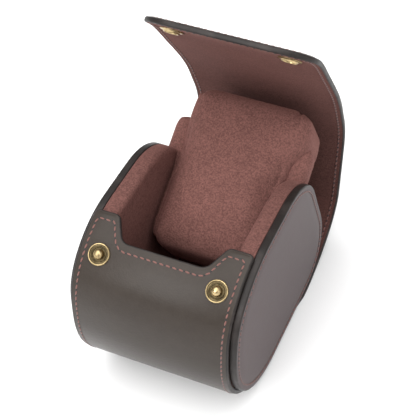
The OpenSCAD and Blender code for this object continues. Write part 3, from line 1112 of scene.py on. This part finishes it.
class CASE_OT_strap(bpy.types.Operator):
    """Builds the leather strap: tabs, front, bottom and flap, in six joined pieces"""

    bl_idname = "travel_case.strap"
    bl_label = "Strap"

    def execute(self, context):
        sizes = context.scene.travel_case.strap
        line = StrapLine()
        parts = StrapParts(line)
        whole = flat_strap(sizes, line)
        for i, name in enumerate(parts.names):
            bm = whole.copy()
            keep_between(bm, parts.limits[i], parts.limits[i + 1])
            slice_up(bm, sizes.slice_length)
            keep_flat_place(bm)
            line.bend(bm)
            bmesh.ops.recalc_face_normals(bm, faces=bm.faces)
            piece = make_piece(f"{name}_leather", bm, ["strap_leather", "edge_paint", "strap_suede_painted_shade"])
            parts.attach(piece, i)
            if i == 0:
                nodes = ["wrap_leather", "wrap_board", "wrap_lining"]
            else:
                nodes = [f"flap_{layer}_{i}" for layer in FLAP_LAYERS]
            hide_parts(*nodes)
        whole.free()
        return {"FINISHED"}


class CASE_OT_strap_stitches(bpy.types.Operator):
    """Sews round the tabs, the notch and the sides and free end of the strap"""

    bl_idname = "travel_case.strap_stitches"
    bl_label = "Strap stitches"

    NOTCH_FLOOR = {2, 3}
    NOTCH_CORNER_GROWTH = 1.5 * MM
    LEAST_R = 1.2 * MM
    OUTSIDE_RISE = 0.12 * MM

    def execute(self, context):
        settings = context.scene.travel_case
        line = StrapLine()
        parts = StrapParts(line)
        path, radii, insets = strap_pattern(settings.strap, line)
        sewn = inset_path(path, insets)
        sewn_radii = []
        for i, radius in enumerate(radii):
            change = self.NOTCH_CORNER_GROWTH if i in self.NOTCH_FLOOR else -insets[i]
            sewn_radii.append(max(self.LEAST_R, radius + change))
        places = stitch_places(rounded(sewn, sewn_radii), settings.stitch.pitch)
        needle = Needle(settings.stitch)
        for i, name in enumerate(parts.names):
            bm = bmesh.new()
            for point, direction in places:
                if not parts.holds(i, point.y):
                    continue
                for face in (1, -1):
                    height = STRAP_T / 2 + (self.OUTSIDE_RISE if face > 0 else 0.0)
                    centre = Vector((point.x, point.y, face * height))
                    along = Vector((direction.x, direction.y, 0))
                    needle.sew(bm, centre, along, Vector((0, 0, face)))
            line.bend(bm)
            bmesh.ops.recalc_face_normals(bm, faces=bm.faces)
            piece = make_piece(f"{name}_stitches", bm, needle.FINISHES)
            parts.attach(piece, i)
        needle.put_away()
        return {"FINISHED"}


# End walls


def edges_at(bm, x):
    return [edge for edge in bm.edges if all(abs(vert.co.x - x) < 1e-6 for vert in edge.verts)]


class CASE_OT_end_walls(bpy.types.Operator):
    """Builds the two padded walls with their suede covers"""

    bl_idname = "travel_case.end_walls"
    bl_label = "Padded end walls"

    OUTER_ROUND = 0.5 * MM

    def execute(self, context):
        sizes = context.scene.travel_case.wall
        for side, name in ((-1, "left"), (1, "right")):
            bm = bmesh.new()
            points = wall_outline(0)
            inner = side * WALL_INNER_X
            outer = side * (WALL_OUTER_X - PANEL_SEAT)
            face = outline_face(bm, points, lambda point: (inner, point.x, point.y))
            extrude_slab(bm, face, (outer - inner, 0, 0))
            bevel_edges(bm, edges_at(bm, inner), sizes.wall_round, 6)
            bevel_edges(bm, edges_at(bm, outer), self.OUTER_ROUND, 2)
            bmesh.ops.recalc_face_normals(bm, faces=bm.faces)
            piece = make_piece(f"padded_wall_{name}", bm, ["wall_suede_painted_shade"])
            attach(piece, "root")
            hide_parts(f"end_lining_{name}", f"end_core_{name}")
        return {"FINISHED"}


class CASE_OT_end_panels(bpy.types.Operator):
    """Builds the two stitched end panels with painted edges"""

    bl_idname = "travel_case.end_panels"
    bl_label = "End panels"

    # Width and rise of each step from the rim inwards: the groove of the stitches, then the swell
    FRONT_STEPS = [
        (1.4 * MM, 0.0), (0.8 * MM, -0.22 * MM), (0.8 * MM, 0.0), (1.6 * MM, 0.24 * MM),
        (3.0 * MM, 0.1 * MM),
    ]
    STITCH_DEPTH = 0.12 * MM

    def execute(self, context):
        settings = context.scene.travel_case
        sizes = settings.wall
        for side, name in ((-1, "left"), (1, "right")):
            inner = side * (WALL_OUTER_X - PANEL_SEAT)
            outer = side * CASE_HALF_W
            bm = bmesh.new()
            face = outline_face(bm, wall_outline(0), lambda point: (inner, point.x, point.y))
            extrude_slab(bm, face, (outer - inner, 0, 0))
            bevel_edges(bm, edges_at(bm, inner) + edges_at(bm, outer), sizes.panel_round, 4)
            for face in bm.faces:
                face.material_index = LEATHER if abs(face.normal.x) > 0.999 else PAINT
            front = [face for face in bm.faces if face.normal.x * side > 0.999]
            step_in(bm, front, self.FRONT_STEPS)
            piece = make_piece(f"end_panel_{name}_leather", bm, ["end_leather_painted_reflection", "edge_paint"])
            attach(piece, "root")
            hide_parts(f"end_panel_{name}")
            self.sew(settings.stitch, side, outer, name)
        return {"FINISHED"}

    def sew(self, sizes, side, outer, name):
        bm = bmesh.new()
        needle = Needle(sizes)
        line = wall_outline(-sizes.panel_inset)
        for point, direction in stitch_places(line, sizes.pitch):
            centre = Vector((outer - side * self.STITCH_DEPTH, point.x, point.y))
            along = Vector((0, direction.x, direction.y))
            needle.sew(bm, centre, along, Vector((side, 0, 0)))
        bmesh.ops.recalc_face_normals(bm, faces=bm.faces)
        piece = make_piece(f"end_panel_{name}_stitches", bm, needle.FINISHES)
        needle.put_away()
        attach(piece, "root")


# Cushion


def cushion_matrix(sizes):
    place = Matrix.Translation((0, sizes.middle_y, sizes.middle_z))
    return place @ Matrix.Rotation(sizes.lean, 4, "X")


def soft_block(width, length, thickness, rounding):
    """A block with rounded edges, ready to be remeshed."""
    bm = bmesh.new()
    bmesh.ops.create_cube(bm, size=1.0)
    bmesh.ops.scale(bm, verts=bm.verts, vec=(width, length, thickness))
    bevel_edges(bm, list(bm.edges), rounding, 4)
    return bm


def apply_modifiers(piece):
    graph = bpy.context.evaluated_depsgraph_get()
    mesh = bpy.data.meshes.new_from_object(piece.evaluated_get(graph), depsgraph=graph)
    piece.modifiers.clear()
    piece.data = mesh


def remesh_evenly(piece, voxel):
    remesh = piece.modifiers.new("even", "REMESH")
    remesh.mode = "VOXEL"
    remesh.voxel_size = voxel
    apply_modifiers(piece)


def subdivide(piece, levels):
    subdivision = piece.modifiers.new("soft", "SUBSURF")
    subdivision.levels = levels
    subdivision.render_levels = levels
    apply_modifiers(piece)


def fill_with_air(piece, sizes, most):
    """Swells the cover like a filled pad, and holds each point to the most that it may move."""
    before = [vert.co.copy() for vert in piece.data.vertices]
    cloth = piece.modifiers.new("cover", "CLOTH")
    cloth.settings.use_pressure = True
    cloth.settings.uniform_pressure_force = sizes.pressure
    cloth.settings.effector_weights.gravity = 0.0
    cloth.settings.quality = 6
    cloth.point_cache.frame_start = 1
    cloth.point_cache.frame_end = sizes.settle_frames
    for step in range(1, sizes.settle_frames + 1):
        bpy.context.scene.frame_set(step)
    apply_modifiers(piece)
    for vert, start in zip(piece.data.vertices, before):
        move = vert.co - start
        if move.length > most:
            vert.co = start + move * (most / move.length)
    bpy.context.scene.frame_set(1)


def hold_inside(piece, half_w, half_l, half_t, power):
    """Keeps a soft block inside its solid."""
    for vert in piece.data.vertices:
        share = (abs(vert.co.y) / half_l) ** power + (abs(vert.co.z) / half_t) ** power
        if share > 1:
            shrink = share ** (-1 / power)
            vert.co.y *= shrink
            vert.co.z *= shrink
        vert.co.x = max(-half_w, min(half_w, vert.co.x))


class CASE_OT_cushion(bpy.types.Operator):
    """Builds the padded suede cushion"""

    bl_idname = "travel_case.cushion"
    bl_label = "Cushion"

    START_INSET = 1.2 * MM
    START_ROUNDING = 6.5 * MM
    MESH_SPACING = 3.5 * MM
    MOST_SWELL = 3 * MM
    SQUARENESS = 4.5
    SEAM_INSET = 3.2 * MM
    SEAM_DEPTH = 0.9 * MM
    SEAM_WIDTH = 0.9 * MM
    SEAM_START = 15 * MM
    HEAD_FROM = 12 * MM
    HEAD_TO = 24 * MM
    HEAD_SPREAD_RIGHT = 5.5 * MM
    HEAD_SPREAD_LEFT = 1.0 * MM

    def execute(self, context):
        sizes = context.scene.travel_case.cushion
        half_w = sizes.width / 2
        half_l = sizes.length / 2
        half_t = sizes.thickness / 2
        size = [2 * (half - self.START_INSET) for half in (half_w, half_l, half_t)]
        bm = soft_block(*size, self.START_ROUNDING)
        piece = make_piece("cushion_pad", bm, ["pad_suede"], math.pi)
        remesh_evenly(piece, self.MESH_SPACING)
        fill_with_air(piece, sizes, self.MOST_SWELL)
        hold_inside(piece, half_w, half_l, half_t, self.SQUARENESS)
        self.swell_head(piece, half_w)
        subdivide(piece, 2)
        self.sink_seams(piece, half_w)
        piece.data.transform(cushion_matrix(sizes))
        dress(piece, "pad_suede")
        make_smooth(piece)
        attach(piece, "cushion")
        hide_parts("cushion_cover", "cushion_core")
        return {"FINISHED"}

    def swell_head(self, piece, half_w):
        """Above the end walls nothing holds the cushion, so its head spreads sideways."""
        for vert in piece.data.vertices:
            share = smooth_step(vert.co.y, self.HEAD_FROM, self.HEAD_TO)
            spread = self.HEAD_SPREAD_RIGHT if vert.co.x > 0 else self.HEAD_SPREAD_LEFT
            vert.co.x *= 1 + share * spread / half_w

    def sink_seams(self, piece, half_w):
        """Draws the cover in along the seams near its two sides."""
        seam = half_w - self.SEAM_INSET
        for vert in piece.data.vertices:
            away = (abs(vert.co.x) - seam) / self.SEAM_WIDTH
            depth = self.SEAM_DEPTH * math.exp(-away * away)
            inward = Vector((0, vert.co.y, vert.co.z))
            if inward.length > self.SEAM_START:
                vert.co -= unit(inward) * depth


class CASE_OT_wings(bpy.types.Operator):
    """Builds the soft wings beside the cushion that lie over the rims of the end walls"""

    bl_idname = "travel_case.wings"
    bl_label = "Cushion wings"

    OVERLAP = 4 * MM
    REACH = 7.5 * MM
    ROUNDING = 4.5 * MM
    MESH_SPACING = 2 * MM
    WALL_GAP = 0.4 * MM
    REST_ON_WALL = 0.3 * MM
    MOST_LIFT = 6 * MM

    def execute(self, context):
        sizes = context.scene.travel_case.cushion
        anchor_x = sizes.width / 2
        for side, name in ((-1, "left"), (1, "right")):
            inner = anchor_x - self.OVERLAP
            outer = anchor_x + self.REACH
            bm = soft_block(outer - inner, sizes.wing_length, sizes.wing_thickness, self.ROUNDING)
            middle = (
                side * (inner + outer) / 2,
                sizes.length / 2 - sizes.wing_drop - sizes.wing_length / 2,
                sizes.thickness / 2 - sizes.wing_setback - sizes.wing_thickness / 2,
            )
            bmesh.ops.translate(bm, verts=bm.verts, vec=middle)
            bmesh.ops.transform(bm, matrix=cushion_matrix(sizes), verts=bm.verts)
            piece = make_piece(f"cushion_wing_{name}_pad", bm, ["pad_suede"], math.pi)
            remesh_evenly(piece, self.MESH_SPACING)
            self.drape(piece, side)
            subdivide(piece, 1)
            dress(piece, "pad_suede")
            make_smooth(piece)
            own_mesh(piece)
            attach(piece, "cushion")
            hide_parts(f"cushion_wing_{name}")
        return {"FINISHED"}

    def drape(self, piece, side):
        """Lifts the part of a wing that would be inside the padded wall, so that it lies on it."""
        outline = wall_outline(0)
        rim_x = WALL_INNER_X - self.WALL_GAP
        for vert in piece.data.vertices:
            if abs(vert.co.x) <= rim_x:
                continue
            point = Vector((vert.co.y, vert.co.z))
            near = min(range(len(outline)), key=lambda i: (outline[i] - point).length)
            along = unit(outline[(near + 1) % len(outline)] - outline[near - 1])
            out = Vector((along.y, -along.x))
            depth = (point - outline[near]).dot(out)
            lift = self.REST_ON_WALL - depth
            if 0 < lift < self.MOST_LIFT:
                vert.co.y += out.x * lift
                vert.co.z += out.y * lift
            elif lift > 0:
                vert.co.x = side * rim_x


# Snaps


FLANGE_BASE = 2.0 * MM
SOCKET_BASE = 4.2 * MM
CAP_BASE = 7.7 * MM


def snap_places(settings):
    strap = settings.strap
    middle = (strap.left_edge + strap.right_edge) / 2
    reach = settings.snap.pitch / 2
    return (("left", middle - reach), ("right", middle + reach))


class CASE_OT_studs(bpy.types.Operator):
    """Builds the two press studs: a rimmed flange with a ball"""

    bl_idname = "travel_case.studs"
    bl_label = "Studs"

    def execute(self, context):
        settings = context.scene.travel_case
        sizes = settings.snap
        for name, x in snap_places(settings):
            matrix = stud_matrix(x) @ Matrix.Translation((0, 0, FLANGE_BASE))
            for part, bm, finish in (
                ("ring", self.ring(sizes.flange_r), "bright_brass"),
                ("dish", self.dish(sizes.flange_r), "dark_brass"),
                ("ball", self.ball(sizes.ball_r), "bright_brass"),
            ):
                bmesh.ops.transform(bm, matrix=matrix, verts=bm.verts)
                piece = make_piece(f"stud_{name}_{part}", bm, [finish])
                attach(piece, "root")
                if part == "ring":
                    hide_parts(f"stud_{name}")
        return {"FINISHED"}

    def ring(self, radius):
        profile = [
            (radius - 0.6 * MM, 0.2 * MM), (radius - 0.6 * MM, 1.05 * MM),
            (radius - 0.5 * MM, 1.2 * MM), (radius - 0.3 * MM, 1.25 * MM),
            (radius - 0.1 * MM, 1.12 * MM), (radius, 0.85 * MM), (radius, 0.2 * MM),
            (radius - 0.6 * MM, 0.2 * MM),
        ]
        return lathe(profile, 48)

    def dish(self, radius):
        profile = [
            (0, 0.2 * MM), (radius - 0.55 * MM, 0.2 * MM), (radius - 0.55 * MM, 0.6 * MM),
            (radius - 1.2 * MM, 0.5 * MM), (radius - 1.5 * MM, 0.6 * MM),
            (radius - 1.65 * MM, 0.85 * MM), (radius - 1.85 * MM, 0.85 * MM),
            (radius - 2.0 * MM, 0.6 * MM), (0, 0.5 * MM),
        ]
        return lathe(profile, 48)

    def ball(self, radius):
        steps = 10
        profile = [(0, 0.5 * MM), (radius * 0.72, 0.5 * MM), (radius * 0.72, 0.75 * MM)]
        centre = 1.25 * MM
        for i in range(2, steps + 1):
            angle = -math.pi / 2 + math.pi * i / steps
            profile.append((radius * math.cos(angle), centre + radius * math.sin(angle)))
        profile[-1] = (0, centre + radius)
        return lathe(profile, 40)


class CASE_OT_flap_snaps(bpy.types.Operator):
    """Builds the caps and the sockets on the flap, and finishes the wire rings in the sockets"""

    bl_idname = "travel_case.flap_snaps"
    bl_label = "Caps and sockets"

    CAP_RIM = 0.8 * MM
    CAP_DOME = 0.45 * MM

    def execute(self, context):
        settings = context.scene.travel_case
        sizes = settings.snap
        line = StrapLine()
        for name, x in snap_places(settings):
            matrix = line.snap_matrix(x)
            for part, bm in (("cap", self.cap(sizes.cap_r)), ("socket", self.socket(sizes))):
                bmesh.ops.transform(bm, matrix=matrix, verts=bm.verts)
                piece = make_piece(f"snap_{part}_{name}_metal", bm, ["bright_brass"])
                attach(piece, "flap_5")
                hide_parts(f"snap_{part}_{name}")
            dress(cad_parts[f"snap_spring_{name}"], "ring_steel")
            dress(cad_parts[f"stud_washer_{name}"], "dark_brass")
        return {"FINISHED"}

    def cap(self, radius):
        profile = [(0, CAP_BASE), (radius - 0.2 * MM, CAP_BASE), (radius, CAP_BASE + 0.2 * MM)]
        edge = CAP_BASE + self.CAP_RIM
        steps = 8
        for i in range(steps + 1):
            angle = i / steps * math.pi / 2
            height = edge + self.CAP_DOME * math.sin(angle) ** 1.4
            profile.append((radius * math.cos(angle) ** 0.9, height))
        profile[-1] = (0, edge + self.CAP_DOME)
        return lathe(profile, 48)

    def socket(self, sizes):
        top = SNAP_OFFSET + 0.3 * MM
        low = SOCKET_BASE
        hole = sizes.ball_r + 0.6 * MM
        radius = sizes.socket_r
        profile = [
            (0, top), (radius - 0.25 * MM, top), (radius, top - 0.25 * MM),
            (radius, low + 1.05 * MM), (radius - 0.3 * MM, low + 0.8 * MM),
            (radius - 1.3 * MM, low + 0.7 * MM), (hole + 0.75 * MM, low + 0.3 * MM),
            (hole + 0.45 * MM, low), (hole + 0.15 * MM, low + 0.05 * MM),
            (hole, low + 0.3 * MM), (hole, SNAP_OFFSET - 0.2 * MM), (0, SNAP_OFFSET - 0.2 * MM),
        ]
        return lathe(profile, 48)


# Stage


class CASE_OT_stage(bpy.types.Operator):
    """Sets the floor, the soft light and the camera"""

    bl_idname = "travel_case.stage"
    bl_label = "Stage"

    def execute(self, context):
        settings = context.scene.travel_case.stage
        self.floor()
        self.light(context.scene, settings)
        self.camera(context.scene, settings)
        return {"FINISHED"}

    def floor(self):
        bm = bmesh.new()
        bmesh.ops.create_grid(bm, x_segments=1, y_segments=1, size=3.0)
        mesh = bpy.data.meshes.new("floor")
        bm.to_mesh(mesh)
        bm.free()
        finish = Finish("pale_floor")
        finish.set(Base_Color=(0.9, 0.9, 0.9, 1.0), Roughness=0.9, Specular_IOR_Level=0.1)
        mesh.materials.append(finish.material)
        floor = bpy.data.objects.new("floor", mesh)
        bpy.context.scene.collection.objects.link(floor)

    def light(self, scene, settings):
        world = bpy.data.worlds.new("studio")
        world.use_nodes = True
        background = world.node_tree.nodes["Background"]
        background.inputs["Color"].default_value = (1.0, 1.0, 1.0, 1.0)
        background.inputs["Strength"].default_value = settings.sky
        scene.world = world
        lamps = (
            ("key", (-0.1, -0.2, 1.3), 1.8, settings.key_power),
            ("front", (-0.35, -1.1, 0.75), 0.8, settings.key_power * 0.36),
            ("side", (1.2, -0.35, 0.75), 1.0, settings.key_power * 0.2),
        )
        for name, place, size, power in lamps:
            lamp = bpy.data.lights.new(name, "AREA")
            lamp.energy = power
            lamp.size = size
            holder = bpy.data.objects.new(name, lamp)
            aim = Vector((0, 0, 0.05)) - Vector(place)
            holder.rotation_euler = aim.to_track_quat("-Z", "Y").to_euler()
            holder.location = place
            scene.collection.objects.link(holder)
        scene.view_settings.view_transform = "Standard"

    def camera(self, scene, settings):
        azimuth, elevation = settings.azimuth, settings.elevation
        back = Vector((
            math.sin(azimuth) * math.cos(elevation),
            -math.cos(azimuth) * math.cos(elevation),
            math.sin(elevation),
        ))
        level = Vector((math.cos(azimuth), math.sin(azimuth), 0))
        right = Matrix.Rotation(settings.roll, 3, back) @ level
        up = back.cross(right)
        data = bpy.data.cameras.new("camera")
        data.lens = settings.lens
        data.sensor_width = 36.0
        camera = bpy.data.objects.new("camera", data)
        camera.matrix_world = axes_matrix(right, up, back, settings.place)
        scene.collection.objects.link(camera)
        scene.camera = camera


OPERATORS = [
    CASE_OT_stage, CASE_OT_strap, CASE_OT_strap_stitches, CASE_OT_end_walls,
    CASE_OT_end_panels, CASE_OT_cushion, CASE_OT_wings, CASE_OT_studs, CASE_OT_flap_snaps,
]


class CASE_PT_panel(bpy.types.Panel):
    """Lists the settings and the pieces of the travel case"""

    bl_idname = "CASE_PT_panel"
    bl_label = "Travel Case"
    bl_space_type = "VIEW_3D"
    bl_region_type = "UI"
    bl_category = "Travel Case"

    def draw(self, context):
        settings = context.scene.travel_case
        for group in ("strap", "stitch", "wall", "cushion", "snap", "colour", "stage"):
            values = getattr(settings, group)
            box = self.layout.box()
            box.label(text=group.capitalize())
            for name in values.bl_rna.properties.keys():
                if name not in ("rna_type", "name"):
                    box.prop(values, name)
        for operator in OPERATORS:
            self.layout.operator(operator.bl_idname)


CLASSES = [
    StrapSizes, StitchSizes, WallSizes, CushionSizes, SnapSizes, Colours, StageSettings,
    CaseSettings, *OPERATORS, CASE_PT_panel,
]


def register():
    for cls in CLASSES:
        bpy.utils.register_class(cls)
    bpy.types.Scene.travel_case = PointerProperty(type=CaseSettings)


def unregister():
    del bpy.types.Scene.travel_case
    for cls in reversed(CLASSES):
        bpy.utils.unregister_class(cls)


def main():
    register()
    for operator in OPERATORS:
        group, name = operator.bl_idname.split(".")
        getattr(getattr(bpy.ops, group), name)()


if __name__ == "__main__":
    main()
